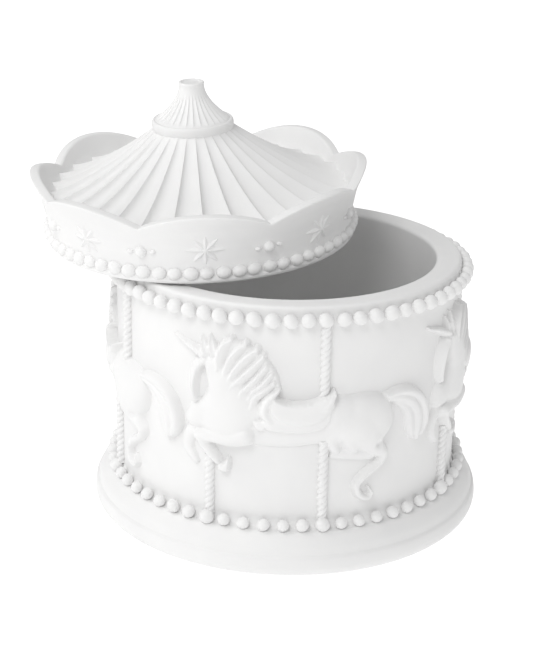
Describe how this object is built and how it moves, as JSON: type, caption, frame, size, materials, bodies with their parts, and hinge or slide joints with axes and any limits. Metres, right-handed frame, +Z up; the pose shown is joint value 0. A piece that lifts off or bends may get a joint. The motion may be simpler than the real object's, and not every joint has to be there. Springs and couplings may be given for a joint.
{
  "type": "carousel music box",
  "caption": "Round lidded jar shaped as a carousel, with unicorn reliefs, a scalloped tent-roof lid resting ajar and a key-wound music movement in its base.",
  "frame": {"origin": "centre of the foot ring on which the jar stands, at table height", "axes": "+Z up along the jar's axis, -Y towards the viewer, +X to the viewer's right"},
  "size_m": [0.1533, 0.1323, 0.1412],
  "materials": {
    "bisque_jar": "matte unglazed bisque",
    "bisque_lid": "matte unglazed bisque",
    "bisque_relief": "matte unglazed bisque, moulded relief",
    "fibre_board": "dark pressed fibre board",
    "zinc_casting": "die-cast, tumbled",
    "screw_steel": "plated steel",
    "spring_steel": "ground and hardened",
    "brass": "turned brass",
    "plated_key": "nickel plated",
    "nylon": "moulded nylon"
  },
  "bodies": {
    "root": {"jar_wall": "bisque_jar", "compartment_floor": "bisque_jar", "upper_bead_ring": "bisque_jar", "lower_bead_ring": "bisque_jar", "twisted_poles": "bisque_jar", "unicorn_front": "bisque_relief", "unicorn_right": "bisque_relief", "unicorn_back": "bisque_relief", "unicorn_left": "bisque_relief", "bottom_cover": "fibre_board", "bedplate": "zinc_casting", "bedplate_screws": "screw_steel", "comb": "spring_steel", "comb_screws": "brass", "governor_bracket": "brass", "bracket_screw": "screw_steel"},
    "lid": {"lid_crown": "bisque_lid", "lid_roof": "bisque_lid", "lid_finial": "bisque_lid", "lid_bead_ring": "bisque_lid", "lid_stars": "bisque_lid", "lid_bosses": "bisque_lid"},
    "winding": {"winding_arbor": "screw_steel", "winding_key": "plated_key"},
    "barrel": {"spring_barrel": "brass", "barrel_cap": "spring_steel", "mainspring": "spring_steel"},
    "cylinder": {"pinned_cylinder": "brass", "cylinder_arbor": "screw_steel", "crown_pinion": "brass", "cylinder_wheel": "brass"},
    "intermediate": {"intermediate_arbor": "screw_steel", "intermediate_pinion": "brass", "worm_wheel": "nylon"},
    "governor": {"governor_worm": "screw_steel", "governor_fan": "nylon"}
  },
  "joints": [
    {"name": "lid_lift", "type": "slide", "parent": "root", "child": "lid", "axis": [0, 0, 1], "range_m": [0, 0.12]},
    {"name": "key_wind", "type": "hinge", "parent": "root", "child": "winding", "pos_m": [0, 0, 0.01], "axis": [0, 0, 1], "continuous": true},
    {"name": "cylinder_turn", "type": "hinge", "parent": "root", "child": "cylinder", "pos_m": [0.025, 0, 0.0255], "axis": [1, 0, 0], "continuous": true},
    {"name": "barrel_turn", "type": "hinge", "parent": "root", "child": "barrel", "pos_m": [0, 0, 0.018], "axis": [0, 0, 1], "continuous": true},
    {"name": "intermediate_turn", "type": "hinge", "parent": "root", "child": "intermediate", "pos_m": [0.036, 0.008, 0.02294], "axis": [1, 0, 0], "continuous": true},
    {"name": "governor_turn", "type": "hinge", "parent": "root", "child": "governor", "pos_m": [0.0382, 0.0135, 0.025], "axis": [0, 0, 1], "continuous": true}
  ],
  "couplings": [
    {"joint": "barrel_turn", "follows": "cylinder_turn", "ratio": 0.27778},
    {"joint": "intermediate_turn", "follows": "cylinder_turn", "ratio": -3.2},
    {"joint": "governor_turn", "follows": "cylinder_turn", "ratio": -64}
  ]
}
